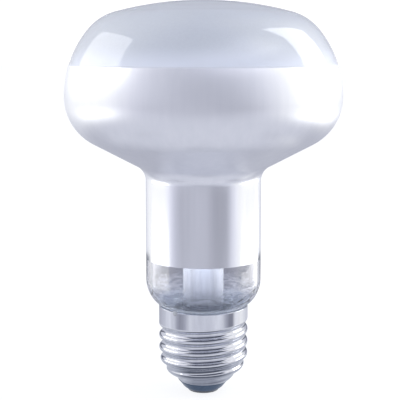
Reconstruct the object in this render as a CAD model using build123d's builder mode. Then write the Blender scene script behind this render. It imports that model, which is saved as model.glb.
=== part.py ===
from build123d import *

import os
from math import acos, cos, degrees, pi, radians, sin, sqrt, tan

# A reflector bulb with a screw cap. Millimetres, +Z up the lamp's axis towards the dome,
# and the origin in the middle of the flat tip of the solder button on the centre contact.

# Glass envelope: one blown piece, drawn as tangent arcs from the dome down to the seal tube
lamp_length = 115.0
head_diameter = 80.0
side_radius = 30.0
side_turn = 40.0
shoulder_radius = 15.4
shoulder_turn = 35.0
bowl_radius = 15.0
underside_slope = 28.0
neck_root_radius = 5.0
neck_diameter = 33.6
neck_end_height = 34.0
neck_end_radius = 9.3
seal_root_radius = 2.0
glass_wall = 0.8

# Screw cap shell: rolled sheet with a plain collar, a round right-hand thread and a tapered end
collar_diameter = 26.2
collar_length = 2.7
rim_gap = 0.26
shell_sheet = 0.3
thread_pitch = 3.63
thread_depth = 1.05
groove_start_height = 6.2
groove_run_out = 7.0
taper_slope = 42.0
taper_round = 9.0
taper_round_share = 0.95
shell_end_diameter = 15.4
shell_end_height = 3.7

# Insulator, centre contact, solder and cement
insulator_top = 7.8
nose_diameter = 10.6
contact_diameter = 9.2
contact_thickness = 0.5
contact_edge_radius = 0.2
eyelet_wall = 0.75
eyelet_clearance = 0.2
button_diameter = 4.4
button_flat = 2.4
button_height = 0.35
plug_height = 1.6
wire_in_plug = 1.0
cement_recess = 1.5
cement_length = 5.6
rim_solder_angle = 232.0
rim_solder_radius = 0.8
rim_solder_drop = 0.2
rim_solder_bulge = 0.12

# Glass stem: a flared tube, sealed to the envelope inside the cap and pinched flat at its top
seal_gap = 1.75
seal_depth = 9.1
stem_diameter = 12.0
stem_wall = 1.0
stem_length = 24.0
pinch_length = 7.0
pinch_gap = 1.0
press_height = 9.0
press_wall = 0.8

# Exhaust tube along the middle of the stem
exhaust_diameter = 3.2
exhaust_wall = 0.6
exhaust_tip_drop = 4.0
exhaust_seat_depth = 2.5
exhaust_hole_diameter = 1.4

# Filament coil, its two supports and the lead wires
filament_depth = 28.0
coil_diameter = 1.4
coil_wire = 0.34
coil_pitch = 1.4
coil_turns = 8
leg_length = 1.2
support_wire = 0.5
support_spacing = 2.8
support_depth = 4.0
loop_clearance = 0.1
lead_diameter = 0.7
lead_bend_radius = 1.4
lead_tip_length = 2.4
lead_spread_start = 2.0
shell_wire_gap = 0.15
flare_wire_gap = 2.2
rim_wire_drop = 0.7

# Heights and radii that follow: envelope head and neck
head_radius = head_diameter / 2
neck_radius = neck_diameter / 2
side_arc = radians(side_turn)
shoulder_arc = radians(side_turn + shoulder_turn)
dome_turn = 90 - side_turn - shoulder_turn
shoulder_foot_radius = head_radius - side_radius * (1 - cos(side_arc))
dome_edge_radius = shoulder_foot_radius - shoulder_radius * (cos(side_arc) - cos(shoulder_arc))
dome_radius = dome_edge_radius / sin(radians(dome_turn))

# The shell's rim stands just below the round end of the glass neck
collar_radius = collar_diameter / 2
collar_bore_radius = collar_radius - shell_sheet
neck_end_centre = neck_radius - neck_end_radius
neck_end_drop = sqrt(neck_end_radius**2 - (collar_bore_radius - neck_end_centre) ** 2)
rim_height = neck_end_height - neck_end_drop - rim_gap
collar_bottom = rim_height - collar_length
root_radius = collar_radius - thread_depth
bore_radius = root_radius - shell_sheet
run_out_rise = groove_run_out * thread_pitch / (2 * pi * collar_radius)
groove_rise = collar_bottom - run_out_rise - thread_pitch / 2 - groove_start_height
flank_shares = (-5 / 12, -3 / 12, -1 / 12, 1 / 12, 3 / 12, 5 / 12)
groove_mouth_radius = collar_radius + thread_depth
flank_wave = thread_depth / 2 / cos(2 * pi * flank_shares[3])
shell_end_radius = shell_end_diameter / 2
taper_length = (collar_radius - shell_end_radius) / cos(radians(taper_slope))
taper_round_limit = taper_length / tan(radians(90 - taper_slope) / 2)
outer_taper_round = min(taper_round, taper_round_share * taper_round_limit)
cement_top = rim_height - cement_recess
cement_bottom = cement_top - cement_length
contact_top = button_height + contact_thickness
eyelet_bore_radius = lead_diameter / 2 + eyelet_clearance
eyelet_radius = eyelet_bore_radius + eyelet_wall

# The seal tube leaves room inside the shell for a lead wire, and the stem hangs from the seal
seal_radius = bore_radius - seal_gap
neck_end_turn = degrees(acos(1 - (neck_radius - seal_radius) / neck_end_radius))
seal_height = rim_height - seal_depth
stem_radius = stem_diameter / 2
stem_bore_radius = stem_radius - stem_wall
flare_radius = seal_radius - glass_wall - stem_radius
pinch_bottom = seal_height + stem_length
press_bottom = pinch_bottom + pinch_length
press_top = press_bottom + press_height
press_thickness = exhaust_diameter + 2 * press_wall
exhaust_radius = exhaust_diameter / 2
exhaust_tip_height = seal_height - exhaust_tip_drop
exhaust_top = press_bottom + exhaust_seat_depth
filament_height = lamp_length - filament_depth
coil_length = coil_pitch * coil_turns
leg_tip_x = coil_length / 2 + leg_length
lead_x = (exhaust_radius + stem_bore_radius) / 2
thread_wire_radius = bore_radius - shell_wire_gap - lead_diameter / 2
collar_wire_radius = collar_bore_radius - shell_wire_gap - lead_diameter / 2
flare_wire_height = seal_height - stem_wall - flare_wire_gap - lead_diameter / 2

os.makedirs("parts", exist_ok=True)


def finish(piece, name):
    """Label a finished piece and write it under its own name."""
    piece.part.label = name
    export_step(piece.part, f"parts/{name}.step")


# Glass envelope
with BuildPart() as glass_envelope:
    with BuildSketch(Plane.XZ):
        with BuildLine() as outline:
            dome = JernArc((0, lamp_length), (1, 0), dome_radius, -dome_turn)
            shoulder = JernArc(dome @ 1, dome % 1, shoulder_radius, -shoulder_turn)
            side = JernArc(shoulder @ 1, shoulder % 1, side_radius, -side_turn)
            bowl = JernArc(side @ 1, side % 1, bowl_radius, underside_slope - 90)
            underside_drop = ((bowl @ 1).X - neck_radius) * tan(radians(underside_slope))
            underside = Line(bowl @ 1, (neck_radius, (bowl @ 1).Y - underside_drop))
            neck = Line(underside @ 1, (neck_radius, neck_end_height))
            neck_end = JernArc(neck @ 1, neck % 1, neck_end_radius, -neck_end_turn)
            Line(neck_end @ 1, (seal_radius, seal_height))
            fillet(outline.vertices().sort_by_distance(neck @ 0)[0], neck_root_radius)
            fillet(outline.vertices().sort_by_distance(neck_end @ 1)[0], seal_root_radius)
            offset(amount=glass_wall, side=Side.RIGHT)
        make_face()
    revolve(axis=Axis.Z)
finish(glass_envelope, "glass_envelope")

# Filament: a coil across the axis with a straight leg at each end
with BuildPart() as filament:
    with BuildLine():
        coil = Helix(
            coil_pitch, coil_length, coil_diameter / 2, (-coil_length / 2, 0, filament_height), (1, 0, 0)
        )
    with BuildSketch(Plane(coil @ 0, z_dir=coil % 0)):
        RegularPolygon(coil_wire / 2, 6)
    sweep(is_frenet=True)
    for coil_end, outward in ((coil @ 0, -1), (coil @ 1, 1)):
        with BuildSketch(Plane(coil_end, z_dir=(outward, 0, 0))):
            Circle(coil_wire / 2)
        extrude(amount=leg_length)
finish(filament, "filament")
leg_y = (coil @ 0).Y
leg_height = (coil @ 0).Z

# Filament supports: straight wires from the press, each with a loop round the coil
coil_outside = coil_diameter / 2 + coil_wire / 2
loop_radius = coil_outside + loop_clearance + support_wire / 2
supports = []
for number, support_x in enumerate((-support_spacing / 2, support_spacing / 2), 1):
    with BuildPart() as support:
        with Locations((support_x, 0, filament_height)):
            Torus(loop_radius, support_wire / 2, rotation=(0, 90, 0))
        with BuildSketch(Plane((support_x, 0, press_top - support_depth))):
            Circle(support_wire / 2)
        extrude(amount=filament_height - loop_radius - press_top + support_depth)
    finish(support, f"filament_support_{number}")
    supports.append(support.part)

# Lead wires: up through the stem and the press, then apart to the ends of the filament
with BuildPart() as contact_lead_wire:
    with BuildLine():
        contact_route = FilletPolyline(
            (0, 0, button_height + plug_height - wire_in_plug),
            (0, 0, insulator_top + lead_bend_radius),
            (lead_x, leg_y, exhaust_tip_height),
            (lead_x, leg_y, press_top + lead_spread_start),
            (leg_tip_x + lead_tip_length, leg_y, leg_height),
            (leg_tip_x, leg_y, leg_height),
            radius=lead_bend_radius,
        )
    with BuildSketch(Plane(contact_route @ 0, z_dir=contact_route % 0)):
        Circle(lead_diameter / 2)
    sweep()
finish(contact_lead_wire, "contact_lead_wire")

rim_solder_turn = radians(rim_solder_angle)
rim_solder_way = Vector(cos(rim_solder_turn), sin(rim_solder_turn), 0)
with BuildPart() as shell_lead_wire:
    with BuildLine():
        shell_route = FilletPolyline(
            rim_solder_way * collar_wire_radius + Vector(0, 0, rim_height - rim_wire_drop),
            rim_solder_way * thread_wire_radius + Vector(0, 0, collar_bottom),
            rim_solder_way * thread_wire_radius + Vector(0, 0, flare_wire_height),
            (-lead_x, leg_y, flare_wire_height),
            (-lead_x, leg_y, press_top + lead_spread_start),
            (-leg_tip_x - lead_tip_length, leg_y, leg_height),
            (-leg_tip_x, leg_y, leg_height),
            radius=lead_bend_radius,
        )
    with BuildSketch(Plane(shell_route @ 0, z_dir=shell_route % 0)):
        Circle(lead_diameter / 2)
    sweep()
finish(shell_lead_wire, "shell_lead_wire")

# Exhaust tube: closed at its tip, open at the top inside the press
exhaust_hole_plane = Plane((0, 0, press_bottom + exhaust_seat_depth / 2), z_dir=(0, -1, 0))
with BuildPart() as exhaust_tube:
    with BuildSketch(Plane.XZ):
        with BuildLine():
            tip = JernArc((0, exhaust_tip_height), (1, 0), exhaust_radius, 90)
            Line(tip @ 1, (exhaust_radius, exhaust_top))
            offset(amount=exhaust_wall, side=Side.LEFT)
        make_face()
    revolve(axis=Axis.Z)
    with BuildSketch(exhaust_hole_plane):
        Circle(exhaust_hole_diameter / 2)
    extrude(amount=press_thickness, mode=Mode.SUBTRACT)
finish(exhaust_tube, "exhaust_tube")

# Glass stem: flared tube, pinched from round to flat, with bores for what is sealed in the press
with BuildPart() as pinch:
    with BuildSketch(Plane.YZ):
        with BuildLine():
            Polyline(
                (-stem_radius, pinch_bottom),
                (stem_radius, pinch_bottom),
                (press_thickness / 2, press_bottom),
                (press_thickness / 2, press_top),
                (-press_thickness / 2, press_top),
                (-press_thickness / 2, press_bottom),
                close=True,
            )
        make_face()
    extrude(amount=stem_radius, both=True)
    with BuildSketch(Plane.XY.offset(pinch_bottom)):
        Circle(stem_radius)
    extrude(amount=press_top - pinch_bottom, mode=Mode.INTERSECT)

with BuildPart() as pinch_hollow:
    with BuildSketch(Plane.YZ):
        with BuildLine():
            Polyline(
                (-stem_bore_radius, pinch_bottom),
                (stem_bore_radius, pinch_bottom),
                (pinch_gap / 2, press_bottom - stem_wall),
                (-pinch_gap / 2, press_bottom - stem_wall),
                close=True,
            )
        make_face()
    extrude(amount=stem_radius, both=True)
    with BuildSketch(Plane.XY.offset(pinch_bottom)):
        Circle(stem_bore_radius)
    extrude(amount=pinch_length, mode=Mode.INTERSECT)

with BuildPart() as glass_stem:
    with BuildSketch(Plane.XZ):
        with BuildLine() as flare:
            Polyline((seal_radius, seal_height), (stem_radius, seal_height), (stem_radius, pinch_bottom))
            fillet(flare.vertices().sort_by_distance((stem_radius, seal_height))[0], flare_radius)
            offset(amount=stem_wall, side=Side.LEFT)
        make_face()
    revolve(axis=Axis.Z)
    add(pinch.part)
    add(pinch_hollow.part, mode=Mode.SUBTRACT)
    with BuildSketch(Plane.XY.offset(pinch_bottom)):
        Circle(exhaust_radius)
    extrude(amount=exhaust_top - pinch_bottom, mode=Mode.SUBTRACT)
    with BuildSketch(exhaust_hole_plane):
        Circle(exhaust_hole_diameter / 2)
    extrude(amount=press_thickness, mode=Mode.SUBTRACT)
    add([contact_lead_wire.part, shell_lead_wire.part, *supports], mode=Mode.SUBTRACT)
finish(glass_stem, "glass_stem")


# Screw shell: a turned sheet form, with the thread as a helical groove that runs out under the collar
def cap_outline(inset, low_radius, straight_radius):
    """Points up the cap's tapered end, moved in by inset from the outside of the sheet."""
    taper_start = shell_end_height + inset / cos(radians(taper_slope))
    rise = tan(radians(taper_slope))
    low_height = taper_start + (low_radius - shell_end_radius) * rise
    corner_height = taper_start + (straight_radius - shell_end_radius) * rise
    return (low_radius, low_height), (straight_radius, corner_height)


with BuildPart() as thread_groove:
    with BuildLine():
        groove_way = Helix(thread_pitch, groove_rise, collar_radius, (0, 0, groove_start_height))
    with BuildSketch(Plane((0, 0, groove_start_height), x_dir=(1, 0, 0), z_dir=(0, -1, 0))):
        with BuildLine():
            flanks = []
            for share in flank_shares:
                flank_radius = collar_radius - thread_depth / 2 - flank_wave * cos(2 * pi * share)
                flanks.append((flank_radius, share * thread_pitch))
            mouth_bottom = (groove_mouth_radius, flanks[0][1])
            mouth_top = (groove_mouth_radius, flanks[-1][1])
            Polyline(mouth_bottom, *flanks, mouth_top, close=True)
        make_face()
    sweep(is_frenet=True)
    groove_end = thread_groove.faces().sort_by_distance(groove_way @ 1)[0]
    extrude(groove_end, amount=groove_run_out, dir=groove_way % 1)

with BuildPart() as shell_inside:
    with BuildSketch(Plane.XZ):
        with BuildLine() as inside_outline:
            low_point, corner = cap_outline(shell_sheet, eyelet_radius, bore_radius)
            Polyline(
                (0, low_point[1]),
                low_point,
                corner,
                (bore_radius, collar_bottom),
                (collar_bore_radius, collar_bottom),
                (collar_bore_radius, rim_height),
                (0, rim_height),
                close=True,
            )
            fillet(inside_outline.vertices().sort_by_distance(corner)[0], outer_taper_round - shell_sheet)
        make_face()
    revolve(axis=Axis.Z)

with BuildPart() as screw_shell:
    with BuildSketch(Plane.XZ):
        with BuildLine() as shell_outline:
            low_point, corner = cap_outline(0, shell_end_radius, collar_radius)
            Polyline(
                (0, low_point[1]), low_point, corner, (collar_radius, rim_height), (0, rim_height), close=True
            )
            fillet(shell_outline.vertices().sort_by_distance(corner)[0], outer_taper_round)
        make_face()
    revolve(axis=Axis.Z)
    add([thread_groove.part, shell_inside.part], mode=Mode.SUBTRACT)
finish(screw_shell, "screw_shell")

# Cap insulator: fills the shell's tapered end and stands out as a short cone
with BuildPart() as cap_insulator:
    add(shell_inside.part)
    split(bisect_by=Plane.XY.offset(shell_end_height), keep=Keep.TOP)
    split(bisect_by=Plane.XY.offset(insulator_top), keep=Keep.BOTTOM)
    with BuildSketch(Plane.XY.offset(contact_top)):
        Circle(nose_diameter / 2)
    with BuildSketch(Plane.XY.offset(shell_end_height)):
        Circle(shell_end_radius)
    loft()
    with BuildSketch(Plane.XY.offset(contact_top)):
        Circle(eyelet_radius)
    extrude(amount=insulator_top - contact_top, mode=Mode.SUBTRACT)
finish(cap_insulator, "cap_insulator")

# Centre contact: a plate under the insulator with an eyelet up through it
with BuildPart() as centre_contact:
    with BuildSketch(Plane.XY.offset(button_height)):
        Circle(contact_diameter / 2)
    extrude(amount=contact_thickness)
    fillet(centre_contact.edges().group_by(Axis.Z)[0], contact_edge_radius)
    with BuildSketch(Plane.XY.offset(contact_top)):
        Circle(eyelet_radius)
    extrude(amount=insulator_top - contact_top)
    with BuildSketch(Plane.XY.offset(button_height)):
        Circle(eyelet_bore_radius)
    extrude(amount=insulator_top - button_height, mode=Mode.SUBTRACT)
finish(centre_contact, "centre_contact")

# Contact solder: a button under the plate and a plug round the wire in the eyelet
with BuildPart() as contact_solder:
    with BuildSketch(Plane.XZ):
        with BuildLine():
            base = Line((0, 0), (button_flat / 2, 0))
            TangentArc(base @ 1, (button_diameter / 2, button_height), tangent=base % 1)
            Polyline(
                (button_diameter / 2, button_height),
                (eyelet_bore_radius, button_height),
                (eyelet_bore_radius, button_height + plug_height),
                (0, button_height + plug_height),
                (0, 0),
            )
        make_face()
    revolve(axis=Axis.Z)
    add(contact_lead_wire.part, mode=Mode.SUBTRACT)
finish(contact_solder, "contact_solder")

# Basing cement: fills the collar between the shell and the glass, round the shell's wire
with BuildPart() as basing_cement:
    add(shell_inside.part)
    split(bisect_by=Plane.XY.offset(cement_bottom), keep=Keep.TOP)
    split(bisect_by=Plane.XY.offset(cement_top), keep=Keep.BOTTOM)
    with BuildSketch(Plane.XY.offset(cement_bottom)):
        Circle(seal_radius)
    extrude(amount=cement_top - cement_bottom, mode=Mode.SUBTRACT)
    add([glass_envelope.part, shell_lead_wire.part], mode=Mode.SUBTRACT)
finish(basing_cement, "basing_cement")

# Rim solder: a small lump over the shell's rim, above the end of the shell's wire
rim_solder_height = rim_height - rim_solder_drop
rim_solder_place = rim_solder_way * (collar_radius - shell_sheet / 2) + Vector(0, 0, rim_solder_height)
with BuildPart() as rim_solder:
    with Locations(rim_solder_place):
        Sphere(rim_solder_radius)
    with BuildSketch(Plane.XY.offset(rim_solder_height - rim_solder_radius)):
        Circle(collar_radius + rim_solder_bulge)
    extrude(amount=2 * rim_solder_radius, mode=Mode.INTERSECT)
    add([screw_shell.part, glass_envelope.part, shell_lead_wire.part], mode=Mode.SUBTRACT)
finish(rim_solder, "rim_solder")
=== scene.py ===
from math import asin, cos, degrees, pi, radians, sin, sqrt, tan

import bmesh
import bpy
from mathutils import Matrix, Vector


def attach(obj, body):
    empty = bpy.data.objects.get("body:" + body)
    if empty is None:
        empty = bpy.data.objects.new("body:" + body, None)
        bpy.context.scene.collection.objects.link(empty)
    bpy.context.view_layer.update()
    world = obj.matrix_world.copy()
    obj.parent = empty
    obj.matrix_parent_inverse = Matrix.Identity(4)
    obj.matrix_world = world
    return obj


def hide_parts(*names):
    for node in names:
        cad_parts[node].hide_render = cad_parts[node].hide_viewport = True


# A reflector bulb with a screw cap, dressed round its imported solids. Lengths are in millimetres,
# as in the part's source, and are turned to metres where a mesh or a node takes them. The studio
# is in metres.
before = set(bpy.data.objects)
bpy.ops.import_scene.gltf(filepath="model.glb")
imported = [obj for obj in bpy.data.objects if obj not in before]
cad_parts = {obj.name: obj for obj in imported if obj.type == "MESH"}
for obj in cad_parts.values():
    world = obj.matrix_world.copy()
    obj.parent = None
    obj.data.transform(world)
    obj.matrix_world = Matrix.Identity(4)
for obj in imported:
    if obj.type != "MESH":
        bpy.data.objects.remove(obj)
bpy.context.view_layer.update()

MM = 0.001
ROUND_STEPS = 144
ARC_STEP = 2.0

# Glass envelope, as in the part's source
LAMP_LENGTH = 115.0
HEAD_RADIUS = 40.0
SIDE_RADIUS = 30.0
SIDE_TURN = 40.0
SHOULDER_RADIUS = 15.4
SHOULDER_TURN = 35.0
BOWL_RADIUS = 15.0
UNDERSIDE_SLOPE = 28.0
NECK_ROOT_RADIUS = 5.0
NECK_RADIUS = 16.8
NECK_END_HEIGHT = 34.0
NECK_END_RADIUS = 9.3
SEAL_RADIUS = 10.0
SEAL_ROOT_RADIUS = 2.0
SEAL_HEIGHT = 17.0
GLASS_WALL = 0.8

# Heights at which one finish of the glass ends and the next begins
FROST_EDGE = 96.9
FILM_EDGE_WIDTH = 0.4
FILM_END = 40.3
SEAL_START = 27.4

# Heights between which a finish, the dome's painted sheen or the stem's glow changes, from its start
# to its full strength
PAINTED_SHEEN_RIM = (102.5, 97.5)
SATIN_BOWL = (60.0, 70.0)
THICK_END = (35.5, 29.5)
STEM_LIGHT = (25.5, 40.5)

# Screw shell, as in the part's source
COLLAR_RADIUS = 13.1
COLLAR_LENGTH = 2.7
SHELL_SHEET = 0.3
THREAD_PITCH = 3.63
THREAD_DEPTH = 1.05
GROOVE_START = 6.2
GROOVE_TURNS = 4.153
TAPER_SLOPE = 42.0
TAPER_ROUND = 9.0
SHELL_END_RADIUS = 7.7
SHELL_END_HEIGHT = 3.7
RIM_HEIGHT = 26.1

# Ends of the groove, in turns from its start: it fades in on the taper, faintly and then in full,
# and runs out below the collar
FAINT_START = -1.2
FAINT_SHARE = 0.6
FULL_START = 0.3
FULL_TURNS = 0.6
RUN_OUT_END = 0.12
RUN_OUT_TURNS = 0.16

# Rows of the shell's mesh, its rounded rim and its inside
THREAD_ROWS = 190
RIM_ROWS = 3
RIM_INSET = 0.05
RIM_RISE = 0.06
BORE_END = 12.0
TAPER_INSIDE = 8.0
TAPER_WALL = 1.2
END_LIP = ((0.35, 0.15), (0.3, -0.02))

# Insulator, its rounded nose and its body inside the shell
NOSE_RADIUS = 5.3
NOSE_HEIGHT = 0.85
NOSE_ROUND = 1.3
NOSE_STEPS = 12
FOOT_STEPS = 4
FOOT_INSET = 0.2
BODY_FOOT = (0.45, 0.1)
BODY_INSET = 1.3
INSULATOR_TOP = 7.8
EYELET_RADIUS = 1.3

# The studio that the lamp mirrors: degrees from the camera's side, right is positive, and the tone
# there. The walls stand at the lamp's height, the screens a little below it.
WALLS = (
    (-179.5, "a8aab6"), (-150, "dcdee6"), (-134, "f0f2f8"), (-120, "ffffff"), (-84, "ffffff"),
    (-68, "e8e9f3"), (-58, "dcddeb"), (-45, "ced0dc"), (-33, "c6c8d4"), (-20, "bcbeca"),
    (-5, "b2b4c0"), (12, "b1b3bf"), (25, "b8bac6"), (36, "c4c6d2"), (47, "d6d8e4"),
    (58, "e8eaf5"), (72, "ffffff"), (136, "ffffff"), (150, "c8cad6"), (179.5, "a8aab6"),
)
SCREENS = (
    (-179.5, "868894"), (-173, "8e909c"), (-165, "ccced8"), (-150, "e8eaf2"), (-136, "ffffff"),
    (-84, "ffffff"), (-69, "e7e8f7"), (-57, "c0c1ce"), (-45, "acadb9"), (-30, "b6b7c3"),
    (-14, "c2c3cf"), (4, "c0c1cd"), (16, "aeafbb"), (28, "9d9ea9"), (46, "9d9ea9"),
    (56, "cdcedb"), (68, "f4f5ff"), (76, "ffffff"), (136, "ffffff"), (150, "e8eaf2"),
    (165, "ccced8"), (173, "8e909c"), (179.5, "868894"),
)
LOW_FRONT = "d2d4df"
LOW_BACK = "b0b2be"

# Rings of card close to the lamp: one at the cap, one behind the clear glass and a hood above
CARD_LOW = (
    (-179.5, "b0b2be"), (-137, "b8bac6"), (-112, "d2d4de"), (-90, "eaecf4"), (-73, "d0d2dc"),
    (-65, "aeb0bc"), (-58, "9a9ca8"), (-50, "a2a4b0"), (-43, "b6b8c4"), (-32, "e0e2ea"),
    (-20, "d6d8e2"), (18, "d6d8e2"), (32, "e6e8f0"), (43, "e4e6ee"), (55, "b2b4c0"),
    (65, "8e909c"), (74, "8e909c"), (83, "f4f5fa"), (105, "ffffff"), (132, "e0e2ea"),
    (179.5, "b0b2be"),
)
CARD_BEHIND = (
    (-179.5, "6a6e79"), (-130, "747883"), (-118, "74788300"),
    (118, "74788300"), (130, "747883"), (179.5, "6a6e79"),
)
CARD_HOOD = (
    (-179.5, "b0b2be"), (-120, "ffffff"), (-62, "fbfbff"), (-46, "585c68"),
    (58, "525662"), (72, "fbfbff"), (120, "ffffff"), (179.5, "b0b2be"),
)
CARD_RADIUS = 75.0
CARD_FOOT, CARD_MIDDLE, CARD_TOP = 0.5, 13.0, 27.5
HOOD_RADIUS = 180.0
HOOD_HEIGHT = 12.0
HOOD_RISE = range(82, 24, -3)

# The floor close to the cap, as only the cap mirrors it, with a painted shade: a dark ring that stands
# for the shade round the cap's foot. Radius in millimetres and tone, and how much of it gives way to a
# plain tone at each turn
PAINTED_SHADE_RADIUS = 80.0
TABLE_AND_PAINTED_SHADE = (
    (0.5, "9a9eaa"), (9, "9a9eaa"), (13, "6a6f7b"), (25, "444955"), (31, "e2e4ec"), (79, "e2e4ec"),
)
PAINTED_SHADE_SIDES = (
    (-179.5, "ffffff"), (-80, "ffffff"), (-35, "000000"),
    (38, "000000"), (80, "ffffff"), (179.5, "ffffff"),
)
CLOSE_RAYS = (0.064, 0.05)

# Where the studio changes, by direction: the axis, the start of the change and its end
FADES = {
    "screen top": ("Z", -0.05, -0.11),
    "screen foot": ("Z", -0.28, -0.22),
    "behind": ("Y", 0.2, 0.7),
    "below": ("Z", -0.36, -0.5),
    "bank foot": ("Z", 0.58, 0.72),
    "bank top": ("Z", 0.95, 0.85),
    "sweep": ("Y", 0.6, 0.9),
}
ROOM_LIGHT = 1.1
BANK_TURN = 38.0
BANK_SIDES = (0.3, 0.65)
BANK_LIGHT = 2.8

# The floor's white sweep spreads from this point before the lamp, by degrees to each side, and a
# white pool lies round the lamp
SWEEP_POINT = 0.3
SWEEP_SPREAD = (13.0, 45.0)
POOL = (0.05, 0.27)
FLOOR_LIGHT = 0.92
FLOOR_SHADE = -0.3
FLOOR_RADIUS = 4.0
FLOOR_GAP = 0.05

# Lit sheets beside the lamp: name, x, corners as y and z, radiance toward the camera and behind
SOFTBOX_DEPTH = (-0.15, 0.6)
SOFTBOXES = (
    ("softbox_left", -0.6, ((0.58, 0.567), (-0.027, 0.763), (-0.175, 0.28), (0.43, 0.09)), 4.6, 2.0),
    ("strip_left", -0.6, ((0.37, -0.075), (-0.19, -0.075), (-0.19, -0.165), (0.37, -0.165)), 2.4, 2.4),
    ("strip_right", 0.6, ((0.7, -0.095), (-0.08, -0.095), (-0.08, -0.185), (0.7, -0.185)), 2.9, 2.9),
    (
        "softbox_right",
        0.6,
        ((0.06, 1.04), (0.54, 0.6), (0.41, 0.1), (0.0, 0.1), (0.12, 0.68)),
        5.5,
        4.5,
    ),
)

# Camera at the photograph's height and turn
EYE_PLACE = (0.0, -0.300, 0.1036)
EYE_TILT = 6.64
EYE_TURN = 0.19
EYE_LENS = 93.4
EYE_SHIFT = -0.098

# Settings that several nodes share
COLOURS = {"data_type": "RGBA"}
EASED = {"interpolation_type": "SMOOTHSTEP"}
TIMES = {"operation": "MULTIPLY"}
TIMES_AND_PLUS = {"operation": "MULTIPLY_ADD"}


def linear(hex_colour):
    """An sRGB hex colour as a linear one; two more digits give an alpha below 1."""
    parts = [int(hex_colour[i : i + 2], 16) / 255 for i in (0, 2, 4)]
    alpha = int(hex_colour[6:] or "ff", 16) / 255
    tones = [c / 12.92 if c <= 0.04045 else ((c + 0.055) / 1.055) ** 2.4 for c in parts]
    return (*tones, alpha)


def add(tree, kind, settings=None, links=None):
    """Add a node. A setting is one of its properties, or the stops of its ramp as places and tones;
    a link is a constant or a pair of a node and its output."""
    made = tree.nodes.new(kind)
    for name, value in (settings or {}).items():
        if name == "stops":
            stops = made.color_ramp.elements
            for place, tone in value:
                stops.new(place).color = linear(tone)
            # the two that a new ramp has lie outside the others
            stops.remove(stops[0])
            stops.remove(stops[-1])
        else:
            setattr(made, name, value)
    for socket, value in (links or {}).items():
        if isinstance(value, tuple) and isinstance(value[0], bpy.types.Node):
            tree.links.new(value[0].outputs[value[1]], made.inputs[socket])
        else:
            made.inputs[socket].default_value = value
    return made


def new_material(name):
    """An empty material, its node tree and where a point of the object lies, in metres."""
    made = bpy.data.materials.new(name)
    made.use_nodes = True
    made.node_tree.nodes.clear()
    return made, made.node_tree, add(made.node_tree, "ShaderNodeTexCoord")


def per_metre(size_mm):
    """The scale that gives a noise features of this size."""
    return 1000.0 / size_mm


def silvered_glass():
    """Aluminium film behind satin glass: a soft mirror, smoother on the neck than on the bowl.

    The streaks that the vapour leaves in the film are a few hundredths of a millimetre wide and
    are drawn 1.8 mm wide, so that they show."""
    made, tree, place = new_material("silvered_satin_glass")
    upright = add(
        tree,
        "ShaderNodeMapping",
        links={"Vector": (place, "Object"), "Scale": (1.0, 1.0, 0.06)},
    )
    streaks = add(
        tree,
        "ShaderNodeTexNoise",
        links={"Vector": (upright, "Vector"), "Scale": per_metre(1.8), "Detail": 3.0},
    )
    film = add(
        tree,
        "ShaderNodeMix",
        COLOURS,
        {"Factor": (streaks, "Fac"), "A": linear("e7e9ee"), "B": linear("f1f2f6")},
    )
    spot = add(tree, "ShaderNodeSeparateXYZ", links={"Vector": (place, "Object")})
    satin = add(
        tree,
        "ShaderNodeMapRange",
        EASED,
        {
            "Value": (spot, "Z"),
            "From Min": SATIN_BOWL[0] * MM,
            "From Max": SATIN_BOWL[1] * MM,
            "To Min": 0.2,
            "To Max": 0.36,
        },
    )
    surface = add(
        tree,
        "ShaderNodeBsdfPrincipled",
        links={"Base Color": (film, "Result"), "Metallic": 1.0, "Roughness": (satin, "Result")},
    )
    add(tree, "ShaderNodeOutputMaterial", links={"Surface": (surface, "BSDF")})
    return made


def film_edge():
    """The thin, rough edge of the aluminium film, which scatters light: a white line.

    Its crumbs are finer than a tenth of a millimetre and are drawn at 1.5 mm, so that they show."""
    made, tree, place = new_material("film_edge_white")
    crumbs = add(
        tree,
        "ShaderNodeTexNoise",
        links={"Vector": (place, "Object"), "Scale": per_metre(1.5), "Detail": 2.0},
    )
    white = add(
        tree,
        "ShaderNodeMix",
        COLOURS,
        {"Factor": (crumbs, "Fac"), "A": linear("c9ccd6"), "B": linear("d6d9e2")},
    )
    surface = add(
        tree,
        "ShaderNodeBsdfPrincipled",
        links={
            "Base Color": (white, "Result"),
            "Roughness": 0.5,
            "Coat Weight": 0.6,
            "Coat Roughness": 0.03,
        },
    )
    add(tree, "ShaderNodeOutputMaterial", links={"Surface": (surface, "BSDF")})
    return made


def film_inside():
    """The bare aluminium film inside the bulb: a satin mirror that glows.

    The glow stands for daylight that comes in by the dome and goes round inside. The film's clouds
    are as large as they look on such lamps."""
    made, tree, place = new_material("film_inside_aluminium")
    clouds = add(
        tree,
        "ShaderNodeTexNoise",
        links={"Vector": (place, "Object"), "Scale": per_metre(2), "Detail": 2.0},
    )
    satin = add(
        tree,
        "ShaderNodeMapRange",
        links={"Value": (clouds, "Fac"), "To Min": 0.25, "To Max": 0.35},
    )
    surface = add(
        tree,
        "ShaderNodeBsdfPrincipled",
        links={
            "Base Color": linear("eceef2"),
            "Metallic": 1.0,
            "Roughness": (satin, "Result"),
            "Emission Color": linear("e9ebf4"),
            "Emission Strength": 0.9,
        },
    )
    add(tree, "ShaderNodeOutputMaterial", links={"Surface": (surface, "BSDF")})
    return made


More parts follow.
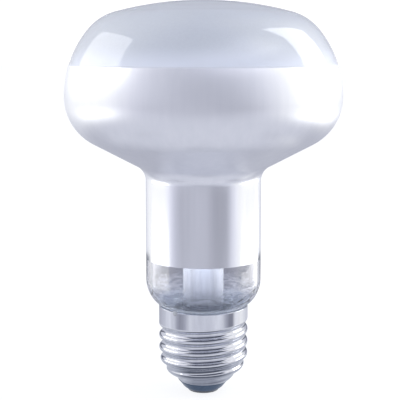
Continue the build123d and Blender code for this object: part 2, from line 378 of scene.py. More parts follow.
def frosted_glass():
    """Glass etched on the inside: it scatters what is behind it, under a glossy outside, and is
    painted paler at its rim, where it is seen at a slant: a painted sheen, not a tone of the glass.

    The pits of the etching are a few hundredths of a millimetre across and are drawn at 0.7 mm, so
    that they show."""
    made, tree, place = new_material("frosted_dome_glass")
    pits = add(
        tree,
        "ShaderNodeTexNoise",
        links={"Vector": (place, "Object"), "Scale": per_metre(0.7), "Detail": 3.0},
    )
    frost = add(
        tree,
        "ShaderNodeMix",
        COLOURS,
        {"Factor": (pits, "Fac"), "A": linear("c6cbd5"), "B": linear("d0d6de")},
    )
    spot = add(tree, "ShaderNodeSeparateXYZ", links={"Vector": (place, "Object")})
    # painted sheen: the base colour turns paler toward the dome's rim, by height
    rim = add(
        tree,
        "ShaderNodeMapRange",
        EASED,
        {"Value": (spot, "Z"), "From Min": PAINTED_SHEEN_RIM[0] * MM, "From Max": PAINTED_SHEEN_RIM[1] * MM},
    )
    paler = add(
        tree,
        "ShaderNodeMix",
        COLOURS,
        {"Factor": (rim, "Result"), "A": (frost, "Result"), "B": linear("dde2ec")},
    )
    etch = add(
        tree,
        "ShaderNodeMapRange",
        links={"Value": (pits, "Fac"), "To Min": 0.5, "To Max": 0.6},
    )
    surface = add(
        tree,
        "ShaderNodeBsdfPrincipled",
        links={
            "Base Color": (paler, "Result"),
            "Roughness": (etch, "Result"),
            "IOR": 1.5,
            "Transmission Weight": 0.3,
            "Coat Weight": 1.0,
            "Coat IOR": 1.5,
            "Coat Roughness": 0.02,
        },
    )
    add(tree, "ShaderNodeOutputMaterial", links={"Surface": (surface, "BSDF")})
    return made


def drawn_glass(tree, place, streak_mm):
    """Upright streaks of glass that was drawn along the lamp's axis, as a pattern and as a bump."""
    drawn = add(
        tree,
        "ShaderNodeMapping",
        links={"Vector": (place, "Object"), "Scale": (1.0, 1.0, 0.08)},
    )
    streaks = add(
        tree,
        "ShaderNodeTexNoise",
        links={"Vector": (drawn, "Vector"), "Scale": per_metre(streak_mm), "Detail": 2.0},
    )
    wavy = add(
        tree,
        "ShaderNodeBump",
        links={"Height": (streaks, "Fac"), "Strength": 0.05, "Distance": 0.0005},
    )
    return streaks, wavy


def clear_glass():
    """Clear soda-lime glass, blown and then fused: streaks of 2.5 mm bend what shows through, and
    toward the seal it is thicker, bluer and has lumps of about 5 mm."""
    made, tree, place = new_material("clear_neck_glass")
    _, wavy = drawn_glass(tree, place, 2.5)
    spot = add(tree, "ShaderNodeSeparateXYZ", links={"Vector": (place, "Object")})
    thick = add(
        tree,
        "ShaderNodeMapRange",
        EASED,
        {"Value": (spot, "Z"), "From Min": THICK_END[0] * MM, "From Max": THICK_END[1] * MM},
    )
    tint = add(
        tree,
        "ShaderNodeMix",
        COLOURS,
        {"Factor": (thick, "Result"), "A": linear("f6f6f8"), "B": linear("e2e5ec")},
    )
    flow = add(
        tree,
        "ShaderNodeMapping",
        links={"Vector": (place, "Object"), "Scale": (1.0, 1.0, 2.2)},
    )
    lumps = add(
        tree,
        "ShaderNodeTexNoise",
        links={
            "Vector": (flow, "Vector"),
            "Scale": per_metre(5),
            "Detail": 1.0,
            "Distortion": 1.2,
        },
    )
    height = add(tree, "ShaderNodeMath", TIMES, {0: (lumps, "Fac"), 1: (thick, "Result")})
    uneven = add(
        tree,
        "ShaderNodeBump",
        links={
            "Height": (height, "Value"),
            "Strength": 0.22,
            "Distance": 0.0015,
            "Normal": (wavy, "Normal"),
        },
    )
    surface = add(
        tree,
        "ShaderNodeBsdfPrincipled",
        links={
            "Base Color": (tint, "Result"),
            "Roughness": 0.0,
            "IOR": 1.5,
            "Transmission Weight": 1.0,
            "Normal": (uneven, "Normal"),
        },
    )
    add(tree, "ShaderNodeOutputMaterial", links={"Surface": (surface, "BSDF")})
    return made


def seal_glass():
    """The neck's end, fused to the stem in a flame: milky in clouds of 3 mm, it half hides the
    cement behind it. A faint glow stands for the light that it scatters."""
    made, tree, place = new_material("milky_seal_glass")
    clouds = add(
        tree,
        "ShaderNodeTexNoise",
        links={"Vector": (place, "Object"), "Scale": per_metre(3), "Detail": 3.0},
    )
    milk = add(
        tree,
        "ShaderNodeMix",
        COLOURS,
        {"Factor": (clouds, "Fac"), "A": linear("d3dae6"), "B": linear("eff3f9")},
    )
    surface = add(
        tree,
        "ShaderNodeBsdfPrincipled",
        links={
            "Base Color": (milk, "Result"),
            "Roughness": 0.1,
            "IOR": 1.5,
            "Transmission Weight": 0.75,
            "Emission Color": linear("c9d2e4"),
            "Emission Strength": 0.04,
        },
    )
    add(tree, "ShaderNodeOutputMaterial", links={"Surface": (surface, "BSDF")})
    return made


def stem_glass():
    """Lead glass of the stem, drawn as a tube: hazy from the flame, with streaks of 1.2 mm. A glow
    stands for the light that it leads down from the silvered bulb."""
    made, tree, place = new_material("hazy_stem_glass")
    streaks, wavy = drawn_glass(tree, place, 1.2)
    spot = add(tree, "ShaderNodeSeparateXYZ", links={"Vector": (place, "Object")})
    led = add(
        tree,
        "ShaderNodeMapRange",
        links={
            "Value": (spot, "Z"),
            "From Min": STEM_LIGHT[0] * MM,
            "From Max": STEM_LIGHT[1] * MM,
            "To Min": 0.0,
            "To Max": 0.235,
        },
    )
    streaky = add(
        tree,
        "ShaderNodeMapRange",
        links={
            "Value": (streaks, "Fac"),
            "From Min": 0.3,
            "From Max": 0.7,
            "To Min": 0.6,
            "To Max": 1.35,
        },
    )
    light = add(tree, "ShaderNodeMath", TIMES, {0: (led, "Result"), 1: (streaky, "Result")})
    surface = add(
        tree,
        "ShaderNodeBsdfPrincipled",
        links={
            "Base Color": linear("f2f5fb"),
            "Roughness": 0.25,
            "IOR": 1.55,
            "Transmission Weight": 0.7,
            "Emission Color": linear("e4e9f5"),
            "Emission Strength": (light, "Value"),
            "Normal": (wavy, "Normal"),
        },
    )
    add(tree, "ShaderNodeOutputMaterial", links={"Surface": (surface, "BSDF")})
    return made


def drawn_metal(name, dark, light, rough, streak_mm, stretch):
    """Drawn, rolled or cast metal: a mirror with streaks along the way it was worked.

    Real streaks are a few hundredths of a millimetre wide. Here they are as wide as they need to
    show, and a stretch below 1 draws them out along the axis."""
    made, tree, place = new_material(name)
    worked = add(
        tree, "ShaderNodeMapping", links={"Vector": (place, "Object"), "Scale": stretch}
    )
    streaks = add(
        tree,
        "ShaderNodeTexNoise",
        links={"Vector": (worked, "Vector"), "Scale": per_metre(streak_mm), "Detail": 4.0},
    )
    tone = add(
        tree,
        "ShaderNodeMix",
        COLOURS,
        {"Factor": (streaks, "Fac"), "A": linear(dark), "B": linear(light)},
    )
    gloss = add(
        tree,
        "ShaderNodeMapRange",
        links={"Value": (streaks, "Fac"), "To Min": rough * 0.75, "To Max": rough * 1.25},
    )
    surface = add(
        tree,
        "ShaderNodeBsdfPrincipled",
        links={"Base Color": (tone, "Result"), "Metallic": 1.0, "Roughness": (gloss, "Result")},
    )
    add(tree, "ShaderNodeOutputMaterial", links={"Surface": (surface, "BSDF")})
    return made


def insulator_glass():
    """Dark moulded glass: glossy and nearly opaque, with flow marks of about 4 mm."""
    made, tree, place = new_material("dark_moulded_glass")
    flow = add(
        tree,
        "ShaderNodeTexNoise",
        links={
            "Vector": (place, "Object"),
            "Scale": per_metre(4),
            "Detail": 3.0,
            "Distortion": 1.5,
        },
    )
    tone = add(
        tree,
        "ShaderNodeMix",
        COLOURS,
        {"Factor": (flow, "Fac"), "A": linear("34445a"), "B": linear("4a5c74")},
    )
    wavy = add(
        tree,
        "ShaderNodeBump",
        links={"Height": (flow, "Fac"), "Strength": 0.15, "Distance": 0.0003},
    )
    surface = add(
        tree,
        "ShaderNodeBsdfPrincipled",
        links={
            "Base Color": (tone, "Result"),
            "Roughness": 0.16,
            "IOR": 1.52,
            "Normal": (wavy, "Normal"),
        },
    )
    add(tree, "ShaderNodeOutputMaterial", links={"Surface": (surface, "BSDF")})
    return made


def set_cement(name, dark, light):
    """Basing cement of marble flour and resin, baked hard: matt, pale and gritty.

    Its grit is about 0.1 mm and is drawn at 0.8 mm, so that it shows."""
    made, tree, place = new_material(name)
    grit = add(
        tree,
        "ShaderNodeTexNoise",
        links={"Vector": (place, "Object"), "Scale": per_metre(0.8), "Detail": 5.0},
    )
    tone = add(
        tree,
        "ShaderNodeMix",
        COLOURS,
        {"Factor": (grit, "Fac"), "A": linear(dark), "B": linear(light)},
    )
    gritty = add(
        tree,
        "ShaderNodeBump",
        links={"Height": (grit, "Fac"), "Strength": 0.5, "Distance": 0.0003},
    )
    surface = add(
        tree,
        "ShaderNodeBsdfPrincipled",
        links={"Base Color": (tone, "Result"), "Roughness": 0.9, "Normal": (gritty, "Normal")},
    )
    add(tree, "ShaderNodeOutputMaterial", links={"Surface": (surface, "BSDF")})
    return made


def arc(centre, radius, start, end, outward=1):
    """Points with normals on an arc, its angles in degrees from +Z; outward is -1 on a hollow one."""
    count = max(2, round(abs(end - start) / ARC_STEP))
    points = []
    for i in range(count + 1):
        angle = radians(start + (end - start) * i / count)
        across, up = sin(angle), cos(angle)
        reach = outward * radius
        points.append((centre[0] + reach * across, centre[1] + reach * up, across, up))
    return points


def run(start, end, normal, steps):
    """Points with normals on a straight stretch, its first one left out."""
    points = []
    for i in range(1, steps + 1):
        radius = start[0] + (end[0] - start[0]) * i / steps
        height = start[1] + (end[1] - start[1]) * i / steps
        points.append((radius, height, *normal))
    return points


def glass_outline():
    """The outside of the glass from the dome's middle down to the seal, as radius, height and
    normal."""
    dome_turn = 90 - SIDE_TURN - SHOULDER_TURN
    shoulder_end = dome_turn + SHOULDER_TURN
    across_dome, up_dome = sin(radians(dome_turn)), cos(radians(dome_turn))
    across_shoulder, up_shoulder = sin(radians(shoulder_end)), cos(radians(shoulder_end))
    side_foot = HEAD_RADIUS - SIDE_RADIUS * (1 - across_shoulder)
    dome_edge = side_foot - SHOULDER_RADIUS * (across_shoulder - across_dome)
    dome_radius = dome_edge / across_dome
    dome_centre = (0.0, LAMP_LENGTH - dome_radius)
    shoulder_gap = dome_radius - SHOULDER_RADIUS
    shoulder_centre = (shoulder_gap * across_dome, dome_centre[1] + shoulder_gap * up_dome)
    side_gap = SIDE_RADIUS - SHOULDER_RADIUS
    side_centre = (
        shoulder_centre[0] - side_gap * across_shoulder,
        shoulder_centre[1] - side_gap * up_shoulder,
    )
    bowl_centre = (HEAD_RADIUS - BOWL_RADIUS, side_centre[1])
    bowl_end = 180 - UNDERSIDE_SLOPE
    under = (sin(radians(bowl_end)), cos(radians(bowl_end)))
    bowl_foot = (
        bowl_centre[0] + BOWL_RADIUS * under[0],
        bowl_centre[1] + BOWL_RADIUS * under[1],
    )
    corner_height = bowl_foot[1] - (bowl_foot[0] - NECK_RADIUS) * tan(radians(UNDERSIDE_SLOPE))
    root_length = NECK_ROOT_RADIUS * tan(radians(bowl_end - 90) / 2)
    root_centre = (NECK_RADIUS + NECK_ROOT_RADIUS, corner_height - root_length)
    end_centre = (NECK_RADIUS - NECK_END_RADIUS, NECK_END_HEIGHT)
    seal_gap = NECK_END_RADIUS + SEAL_ROOT_RADIUS
    seal_reach = SEAL_RADIUS + SEAL_ROOT_RADIUS - end_centre[0]
    seal_turn = 180 - degrees(asin(seal_reach / seal_gap))
    seal_drop = sqrt(seal_gap**2 - seal_reach**2)
    seal_centre = (SEAL_RADIUS + SEAL_ROOT_RADIUS, NECK_END_HEIGHT - seal_drop)

    points = arc(dome_centre, dome_radius, 0, dome_turn)
    points += arc(shoulder_centre, SHOULDER_RADIUS, dome_turn, shoulder_end)[1:]
    points += arc(side_centre, SIDE_RADIUS, shoulder_end, 90)[1:]
    points += arc(bowl_centre, BOWL_RADIUS, 90, bowl_end)[1:]
    root = arc(root_centre, NECK_ROOT_RADIUS, bowl_end, 90, -1)
    points += run(points[-1], root[0], under, 8)
    points += root[1:]
    points += run(points[-1], (NECK_RADIUS, NECK_END_HEIGHT), (1.0, 0.0), 16)
    points += arc(end_centre, NECK_END_RADIUS, 90, seal_turn)[1:]
    points += arc(seal_centre, SEAL_ROOT_RADIUS, seal_turn, 90, -1)[1:]
    points += run(points[-1], (SEAL_RADIUS, SEAL_HEIGHT), (1.0, 0.0), 5)
    return points


def cut_at(points, height):
    """The outline with one more point at this height."""
    for i, (upper, lower) in enumerate(zip(points, points[1:])):
        if upper[1] > height > lower[1]:
            share = (upper[1] - height) / (upper[1] - lower[1])
            between = tuple(u + (v - u) * share for u, v in zip(upper, lower))
            return points[: i + 1] + [between] + points[i + 1 :]
    return points


def on_ring(radius, turn, height):
    """The place in metres at this radius and height, and at this share of a full turn."""
    return radius * cos(2 * pi * turn) * MM, radius * sin(2 * pi * turn) * MM, height * MM


def finished_object(name, mesh, materials):
    """Turn a bmesh into an object of the scene with these materials."""
    bmesh.ops.recalc_face_normals(mesh, faces=mesh.faces[:])
    data = bpy.data.meshes.new(name)
    mesh.to_mesh(data)
    mesh.free()
    for material in materials:
        data.materials.append(material)
    made = bpy.data.objects.new(name, data)
    bpy.context.scene.collection.objects.link(made)
    return made


def turned_mesh(name, rings, materials, pick, closed=False):
    """Mesh of rings of (radius, height) about the axis; pick gives the material's number for the
    gap after each ring, and closed joins the last ring to the first."""
    mesh = bmesh.new()
    made = []
    for radius, height in rings:
        places = ROUND_STEPS if radius >= 1e-6 else 1
        made.append(
            [mesh.verts.new(on_ring(radius, i / ROUND_STEPS, height)) for i in range(places)]
        )
    gaps = list(zip(made, made[1:]))
    if closed:
        gaps.append((made[-1], made[0]))
    for number, (upper, lower) in enumerate(gaps):
        for i in range(ROUND_STEPS):
            j = (i + 1) % ROUND_STEPS
            corners = [
                upper[i % len(upper)],
                lower[i % len(lower)],
                lower[j % len(lower)],
                upper[j % len(upper)],
            ]
            face = mesh.faces.new(list(dict.fromkeys(corners)))
            face.smooth = True
            face.material_index = pick(number)
    return finished_object(name, mesh, materials)


def bulb_glass():
    """The blown envelope with its wall: frosted dome, silvered bowl and neck, clear neck end."""
    outline = glass_outline()
    film_top = FROST_EDGE - FILM_EDGE_WIDTH
    for height in (FROST_EDGE, film_top, FILM_END, SEAL_START):
        outline = cut_at(outline, height)
    outside = [(max(r, 0.0), z) for r, z, _, _ in outline]
    inside = [(max(r - GLASS_WALL * nr, 0.0), z - GLASS_WALL * nz) for r, z, nr, nz in outline]
    # the ring of the cut seal joins outside and inside at the lower end
    rings = outside + inside[::-1]
    outer_gaps = len(outside) - 1
    materials = [
        frosted_glass(),
        film_edge(),
        silvered_glass(),
        clear_glass(),
        film_inside(),
        seal_glass(),
    ]
    frost, edge, film, clear, film_back, seal = range(len(materials))

    def zone(number):
        on_outside = number < outer_gaps
        place = number if on_outside else len(rings) - 2 - number
        place = min(max(place, 0), outer_gaps - 1)
        middle = (outside[place][1] + outside[place + 1][1]) / 2
        if middle > FROST_EDGE:
            return frost
        if middle < SEAL_START:
            return seal
        if middle < FILM_END:
            return clear
        if not on_outside:
            return film_back
        return edge if middle > film_top else film

    return turned_mesh("bulb_glass", rings, materials, zone)


def cap_radius(height):
    """Radius of the cap's outline before its thread: taper, round and straight part."""
    slope = radians(TAPER_SLOPE)
    corner = SHELL_END_HEIGHT + (COLLAR_RADIUS - SHELL_END_RADIUS) * tan(slope)
    reach = TAPER_ROUND * tan((pi / 2 - slope) / 2)
    if height >= corner + reach:
        return COLLAR_RADIUS
    if height <= corner - reach * sin(slope):
        return SHELL_END_RADIUS + (height - SHELL_END_HEIGHT) / tan(slope)
    return COLLAR_RADIUS - TAPER_ROUND + sqrt(TAPER_ROUND**2 - (corner + reach - height) ** 2)


def smooth_step(value):
    """0 up to 0, 1 from 1 on, and an S-shaped rise between them."""
    value = min(max(value, 0.0), 1.0)
    return value * value * (3 - 2 * value)


def thread_sink(turn, height):
    """How deep the round thread lies below the cap's outline at a turn (0 to 1) and a height."""
    arc_radius = ((THREAD_PITCH / 2) ** 2 + THREAD_DEPTH**2) / (4 * THREAD_DEPTH)
    place = (height - GROOVE_START) / THREAD_PITCH - turn
    groove = round(place)
    away = abs(place - groove) * THREAD_PITCH
    along = turn + groove
    faint = FAINT_SHARE * smooth_step(along - FAINT_START)
    full = (1 - FAINT_SHARE) * smooth_step((along - FULL_START) / FULL_TURNS)
    run_out = smooth_step((GROOVE_TURNS + RUN_OUT_END - along) / RUN_OUT_TURNS)
    if away <= THREAD_PITCH / 4:
        depth = THREAD_DEPTH - (arc_radius - sqrt(arc_radius**2 - away**2))
    else:
        depth = arc_radius - sqrt(arc_radius**2 - (THREAD_PITCH / 2 - away) ** 2)
    return depth * run_out * (faint + full)


def screw_shell(material, inside_material):
    """Rolled sheet with the round thread: outside, rim and plain inside."""
    turns = [i / ROUND_STEPS for i in range(ROUND_STEPS)]
    rows = []
    for row in range(THREAD_ROWS + 1):
        height = SHELL_END_HEIGHT + (RIM_HEIGHT - SHELL_END_HEIGHT) * row / THREAD_ROWS
        radius = cap_radius(height)
        rows.append([(radius - thread_sink(turn, height), turn, height) for turn in turns])
    inside_collar = COLLAR_RADIUS - SHELL_SHEET
    bore = inside_collar - THREAD_DEPTH
    rim_and_inside = [
        (COLLAR_RADIUS - RIM_INSET, RIM_HEIGHT + RIM_RISE),
        (inside_collar + RIM_INSET, RIM_HEIGHT + RIM_RISE),
        (inside_collar, RIM_HEIGHT),
        (inside_collar, RIM_HEIGHT - COLLAR_LENGTH),
        (bore, RIM_HEIGHT - COLLAR_LENGTH - SHELL_SHEET),
        (bore, BORE_END),
        (cap_radius(TAPER_INSIDE) - TAPER_WALL, TAPER_INSIDE),
        *((SHELL_END_RADIUS - inset, SHELL_END_HEIGHT + rise) for inset, rise in END_LIP),
    ]
    rows += [[(radius, turn, height) for turn in turns] for radius, height in rim_and_inside]
    mesh = bmesh.new()
    verts = [[mesh.verts.new(on_ring(*place)) for place in row] for row in rows]
    for number, (lower, upper) in enumerate(zip(verts, verts[1:] + verts[:1])):
        for i in range(ROUND_STEPS):
            j = (i + 1) % ROUND_STEPS
            face = mesh.faces.new((lower[i], lower[j], upper[j], upper[i]))
            face.smooth = True
            face.material_index = int(number >= THREAD_ROWS + RIM_ROWS)
    return finished_object("screw_shell_threaded", mesh, [material, inside_material])


def cap_insulator(material):
    """Dark glass plug: a rounded nose under the shell, and its hidden body inside."""
    tip = Vector((NOSE_RADIUS, NOSE_HEIGHT))
    foot = Vector((SHELL_END_RADIUS - FOOT_INSET, SHELL_END_HEIGHT))
    start = tip - Vector((NOSE_ROUND, 0.0))
    end = tip + (foot - tip).normalized() * NOSE_ROUND
    nose = [(EYELET_RADIUS, NOSE_HEIGHT)]
    for i in range(NOSE_STEPS + 1):
        share = i / NOSE_STEPS
        nose.append(tuple(start.lerp(tip, share).lerp(tip.lerp(end, share), share)))
    nose += [tuple(end.lerp(foot, i / FOOT_STEPS)) for i in range(1, FOOT_STEPS + 1)]
    body = [
        (SHELL_END_RADIUS - BODY_FOOT[0], SHELL_END_HEIGHT + BODY_FOOT[1]),
        (cap_radius(INSULATOR_TOP) - BODY_INSET, INSULATOR_TOP),
        (EYELET_RADIUS, INSULATOR_TOP),
    ]
    return turned_mesh("insulator_nose", nose + body, [material], lambda number: 0, closed=True)


def dress(names, material):
    """Give CAD nodes this material."""
    for name in names:
        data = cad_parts[name].data
        data.materials.clear()
        data.materials.append(material)


def by_turn(tree, x, y):
    """Share of a full turn at which a direction or a place lies, 0.5 on the camera's side."""
    ahead = add(tree, "ShaderNodeMath", TIMES, {0: y, 1: -1.0})
    turn = add(tree, "ShaderNodeMath", {"operation": "ARCTAN2"}, {0: x, 1: (ahead, "Value")})
    return add(
        tree,
        "ShaderNodeMapRange",
        links={"Value": (turn, "Value"), "From Min": -pi, "From Max": pi},
    )


def round_the_lamp(tones):
    """Tones by degrees from the camera's side, as stops of a ramp over a full turn."""
    return {"stops": [((turned + 180) / 360, tone) for turned, tone in tones]}


def studio_world():
    """What stands round the lamp, by direction: white walls with a grey camera side, darker screens
    a little lower, a dim ground and a soft bank of light high on the camera's side."""
    world = bpy.data.worlds.new("studio")
    bpy.context.scene.world = world
    world.use_nodes = True
    tree = world.node_tree
    tree.nodes.clear()
    way = add(tree, "ShaderNodeTexCoord")
    part = add(tree, "ShaderNodeSeparateXYZ", links={"Vector": (way, "Generated")})
    turn = by_turn(tree, (part, "X"), (part, "Y"))
    fade = {}
    for name, (axis, start, end) in FADES.items():
        eased = add(
            tree,
            "ShaderNodeMapRange",
            EASED,
            {"Value": (part, axis), "From Min": start, "From Max": end},
        )
        fade[name] = (eased, "Result")

    walls = add(
        tree, "ShaderNodeValToRGB", round_the_lamp(WALLS), {"Fac": (turn, "Result")}
    )
    screens = add(
        tree, "ShaderNodeValToRGB", round_the_lamp(SCREENS), {"Fac": (turn, "Result")}
    )
    screen = add(
        tree, "ShaderNodeMath", TIMES, {0: fade["screen top"], 1: fade["screen foot"]}
    )
    sides = add(
        tree,
        "ShaderNodeMix",
        COLOURS,
        {"Factor": (screen, "Value"), "A": (walls, "Color"), "B": (screens, "Color")},
    )
    ground = add(
        tree,
        "ShaderNodeMix",
        COLOURS,
        {"Factor": fade["behind"], "A": linear(LOW_FRONT), "B": linear(LOW_BACK)},
    )
    room = add(
        tree,
        "ShaderNodeMix",
        COLOURS,
        {"Factor": fade["below"], "A": (sides, "Result"), "B": (ground, "Result")},
    )

    middle = (sin(radians(BANK_TURN)), -cos(radians(BANK_TURN)), 0.0)
    facing = add(
        tree,
        "ShaderNodeVectorMath",
        {"operation": "DOT_PRODUCT"},
        {0: (way, "Generated"), 1: middle},
    )
    toward = add(
        tree,
        "ShaderNodeMapRange",
        EASED,
        {"Value": (facing, "Value"), "From Min": BANK_SIDES[0], "From Max": BANK_SIDES[1]},
    )
    belt = add(tree, "ShaderNodeMath", TIMES, {0: fade["bank foot"], 1: fade["bank top"]})
    bank = add(tree, "ShaderNodeMath", TIMES, {0: (belt, "Value"), 1: (toward, "Result")})
    strength = add(
        tree, "ShaderNodeMath", TIMES_AND_PLUS, {0: (bank, "Value"), 1: BANK_LIGHT, 2: ROOM_LIGHT}
    )

    # the camera itself sees a white sweep behind the lamp and pale grey beside it
    path = add(tree, "ShaderNodeLightPath")
    backdrop = add(
        tree,
        "ShaderNodeMix",
        COLOURS,
        {"Factor": fade["sweep"], "A": linear("d6d7da"), "B": linear("ffffff")},
    )
    seen = add(
        tree,
        "ShaderNodeMix",
        COLOURS,
        {"Factor": (path, "Is Camera Ray"), "A": (room, "Result"), "B": (backdrop, "Result")},
    )
    light = add(
        tree,
        "ShaderNodeBackground",
        links={"Color": (seen, "Result"), "Strength": (strength, "Value")},
    )
    add(tree, "ShaderNodeOutputWorld", links={"Surface": (light, "Background")})


def floor_sheet():
    """A lit opal sheet, as under product photographs. Mirrored rays look past it, apart from the short
    ones from the cap, which meet a painted shade: a dark ring round the cap's foot. From below the
    sheet is clear."""
    made, tree, place = new_material("lit_opal_floor")
    path = add(tree, "ShaderNodeLightPath")
    spot = add(tree, "ShaderNodeSeparateXYZ", links={"Vector": (place, "Object")})
    reach = add(tree, "ShaderNodeVectorMath", {"operation": "LENGTH"}, {0: (place, "Object")})

    # the camera sees it pale grey away from the white sweep and the white pool
    ahead = add(tree, "ShaderNodeMath", {"operation": "ADD"}, {0: (spot, "Y"), 1: SWEEP_POINT})
    aside = add(
        tree, "ShaderNodeMath", {"operation": "ARCTAN2"}, {0: (spot, "X"), 1: (ahead, "Value")}
    )
    turned_off = add(tree, "ShaderNodeMath", {"operation": "ABSOLUTE"}, {0: (aside, "Value")})
    off_sweep = add(
        tree,
        "ShaderNodeMapRange",
        EASED,
        {
            "Value": (turned_off, "Value"),
            "From Min": radians(SWEEP_SPREAD[0]),
            "From Max": radians(SWEEP_SPREAD[1]),
        },
    )
    off_pool = add(
        tree,
        "ShaderNodeMapRange",
        EASED,
        {"Value": (reach, "Value"), "From Min": POOL[0], "From Max": POOL[1]},
    )
    away = add(tree, "ShaderNodeMath", TIMES, {0: (off_sweep, "Result"), 1: (off_pool, "Result")})
    grey = add(tree, "ShaderNodeMath", TIMES, {0: (away, "Value"), 1: (path, "Is Camera Ray")})
    strength = add(
        tree, "ShaderNodeMath", TIMES_AND_PLUS, {0: (grey, "Value"), 1: FLOOR_SHADE, 2: FLOOR_LIGHT}
    )
    clouds = add(
        tree,
        "ShaderNodeTexNoise",
        links={"Vector": (place, "Object"), "Scale": per_metre(6), "Detail": 3.0},
    )
    tone = add(
        tree,
        "ShaderNodeMix",
        COLOURS,
        {"Factor": (clouds, "Fac"), "A": linear("f6f7f9"), "B": linear("fbfcfd")},
    )
    opal = add(tree, "ShaderNodeBsdfDiffuse", links={"Color": linear("6a6b6d")})
    glow = add(
        tree,
        "ShaderNodeEmission",
        links={"Color": (tone, "Result"), "Strength": (strength, "Value")},
    )
    lit = add(tree, "ShaderNodeAddShader", links={0: (opal, "BSDF"), 1: (glow, "Emission")})

    # what the cap mirrors: a mid-grey middle, a painted dark ring for the shade round its foot, and
    # pale beyond
    outward = add(
        tree,
        "ShaderNodeMapRange",
        links={"Value": (reach, "Value"), "From Min": 0.0, "From Max": PAINTED_SHADE_RADIUS * MM},
    )
    rings = add(
        tree,
        "ShaderNodeValToRGB",
        {"stops": [(radius / PAINTED_SHADE_RADIUS, grey_tone) for radius, grey_tone in TABLE_AND_PAINTED_SHADE]},
        {"Fac": (outward, "Result")},
    )
    turn = by_turn(tree, (spot, "X"), (spot, "Y"))
    plain = add(
        tree, "ShaderNodeValToRGB", round_the_lamp(PAINTED_SHADE_SIDES), {"Fac": (turn, "Result")}
    )
    painted_shade_tone = add(
        tree,
        "ShaderNodeMix",
        COLOURS,
        {"Factor": (plain, "Color"), "A": (rings, "Color"), "B": linear("bec2cc")},
    )
    painted_shade_table = add(
        tree,
        "ShaderNodeEmission",
        links={"Color": (painted_shade_tone, "Result"), "Strength": ROOM_LIGHT},
    )
    close = add(
        tree,
        "ShaderNodeMapRange",
        EASED,
        {"Value": (path, "Ray Length"), "From Min": CLOSE_RAYS[0], "From Max": CLOSE_RAYS[1]},
    )
    through = add(tree, "ShaderNodeBsdfTransparent")
    mirrored = add(
        tree,
        "ShaderNodeMixShader",
        links={0: (close, "Result"), 1: (through, "BSDF"), 2: (painted_shade_table, "Emission")},
    )
    from_above = add(
        tree,
        "ShaderNodeMixShader",
        links={0: (path, "Is Glossy Ray"), 1: (lit, "Shader"), 2: (mirrored, "Shader")},
    )
    side = add(tree, "ShaderNodeNewGeometry")
    surface = add(
        tree,
        "ShaderNodeMixShader",
        links={0: (side, "Backfacing"), 1: (from_above, "Shader"), 2: (through, "BSDF")},
    )
    add(tree, "ShaderNodeOutputMaterial", links={"Surface": (surface, "Shader")})
    return made


def studio_floor():
    """A large round sheet under the lamp's tip."""
    mesh = bmesh.new()
    bmesh.ops.create_circle(mesh, cap_ends=True, segments=96, radius=FLOOR_RADIUS)
    floor = finished_object("studio_floor", mesh, [floor_sheet()])
    floor.location.z = -FLOOR_GAP * MM


def reflection_card(name, rings, tones, shortest, longest):
    """Card round the lamp, seen only by mirrored rays of a length between these, in metres."""
    made, tree, place = new_material(name)
    spot = add(tree, "ShaderNodeSeparateXYZ", links={"Vector": (place, "Object")})
    turn = by_turn(tree, (spot, "X"), (spot, "Y"))
    tone = add(tree, "ShaderNodeValToRGB", round_the_lamp(tones), {"Fac": (turn, "Result")})
    lit = add(
        tree, "ShaderNodeEmission", links={"Color": (tone, "Color"), "Strength": ROOM_LIGHT}
    )
    path = add(tree, "ShaderNodeLightPath")
    within = add(
        tree,
        "ShaderNodeMath",
        {"operation": "COMPARE"},
        {0: (path, "Ray Length"), 1: (shortest + longest) / 2, 2: (longest - shortest) / 2},
    )
    seen = add(tree, "ShaderNodeMath", TIMES, {0: (within, "Value"), 1: (tone, "Alpha")})
    through = add(tree, "ShaderNodeBsdfTransparent")
    surface = add(
        tree,
        "ShaderNodeMixShader",
        links={0: (seen, "Value"), 1: (through, "BSDF"), 2: (lit, "Emission")},
    )
    add(tree, "ShaderNodeOutputMaterial", links={"Surface": (surface, "Shader")})
    card = turned_mesh(name, rings, [made], lambda number: 0)
    card.visible_camera = card.visible_diffuse = False
    card.visible_transmission = card.visible_shadow = False


def softbox(name, side, corners, near, far):
    """A lit sheet beside the lamp; its radiance goes from near at the front to far at the back."""
    made, tree, place = new_material(name)
    spot = add(tree, "ShaderNodeSeparateXYZ", links={"Vector": (place, "Object")})
    fall = add(
        tree,
        "ShaderNodeMapRange",
        links={
            "Value": (spot, "Y"),
            "From Min": SOFTBOX_DEPTH[0],
            "From Max": SOFTBOX_DEPTH[1],
            "To Min": near,
            "To Max": far,
        },
    )
    lit = add(
        tree,
        "ShaderNodeEmission",
        links={"Color": linear("ffffff"), "Strength": (fall, "Result")},
    )
    add(tree, "ShaderNodeOutputMaterial", links={"Surface": (lit, "Emission")})
    mesh = bmesh.new()
    mesh.faces.new([mesh.verts.new((side, y, z)) for y, z in corners])
    sheet = finished_object(name, mesh, [made])
    sheet.visible_camera = sheet.visible_shadow = False


glass = bulb_glass()
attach(glass, "root")
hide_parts("glass_envelope")

shell = screw_shell(
    drawn_metal("rolled_aluminium", "cdcfd7", "e6e8ee", 0.06, 1.2, (1.0, 1.0, 0.15)),
    set_cement("cement_skin", "d6d8de", "ecedf1"),
)
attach(shell, "root")
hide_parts("screw_shell")

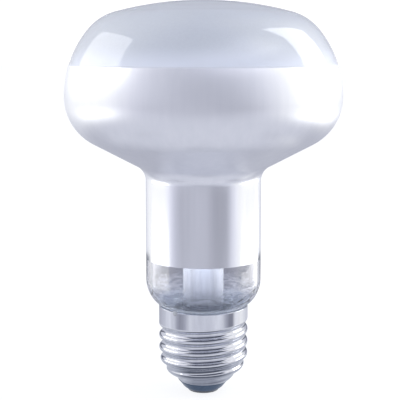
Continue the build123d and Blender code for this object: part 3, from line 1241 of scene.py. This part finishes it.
nose = cap_insulator(insulator_glass())
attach(nose, "root")
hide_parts("cap_insulator")

dress(["glass_stem", "exhaust_tube"], stem_glass())
dress(
    ["contact_lead_wire", "shell_lead_wire"],
    drawn_metal("nickel_wire", "a8a49c", "c9c5bd", 0.25, 0.4, (1.0, 1.0, 0.1)),
)
dress(
    ["filament_support_1", "filament_support_2"],
    drawn_metal("molybdenum_wire", "8c8d92", "a9aab0", 0.3, 0.4, (1.0, 1.0, 0.1)),
)
dress(
    ["filament"],
    drawn_metal("tungsten_coil", "4b4b50", "6e6e74", 0.35, 0.3, (1.0, 1.0, 1.0)),
)
dress(
    ["centre_contact"],
    drawn_metal("tinned_brass", "8b8b8d", "adadae", 0.32, 0.9, (1.0, 1.0, 1.0)),
)
dress(
    ["contact_solder", "rim_solder"],
    drawn_metal("tin_solder", "9fa2a8", "c6c9ce", 0.3, 0.7, (1.0, 1.0, 1.0)),
)
dress(["basing_cement"], set_cement("basing_cement", "d0d4dd", "e4e7ed"))

studio_world()
studio_floor()
reflection_card(
    "card_low", [(CARD_RADIUS, CARD_MIDDLE), (CARD_RADIUS, CARD_FOOT)], CARD_LOW, 0.0, 0.15
)
reflection_card(
    "card_behind", [(CARD_RADIUS, CARD_TOP), (CARD_RADIUS, CARD_MIDDLE)], CARD_BEHIND, 0.0, 0.077
)
hood = [
    (HOOD_RADIUS * cos(radians(up)), HOOD_HEIGHT + HOOD_RADIUS * sin(radians(up)))
    for up in HOOD_RISE
]
reflection_card("card_hood", hood, CARD_HOOD, 0.145, 0.3)
for sheet in SOFTBOXES:
    softbox(*sheet)

eye = bpy.data.objects.new("eye", bpy.data.cameras.new("eye"))
bpy.context.scene.collection.objects.link(eye)
eye.location = EYE_PLACE
eye.rotation_euler = (radians(90 - EYE_TILT), 0.0, radians(EYE_TURN))
eye.data.lens = EYE_LENS
eye.data.sensor_width = 36.0
eye.data.shift_y = EYE_SHIFT
eye.data.clip_start = 0.01
bpy.context.scene.camera = eye
bpy.context.scene.view_settings.view_transform = "Standard"
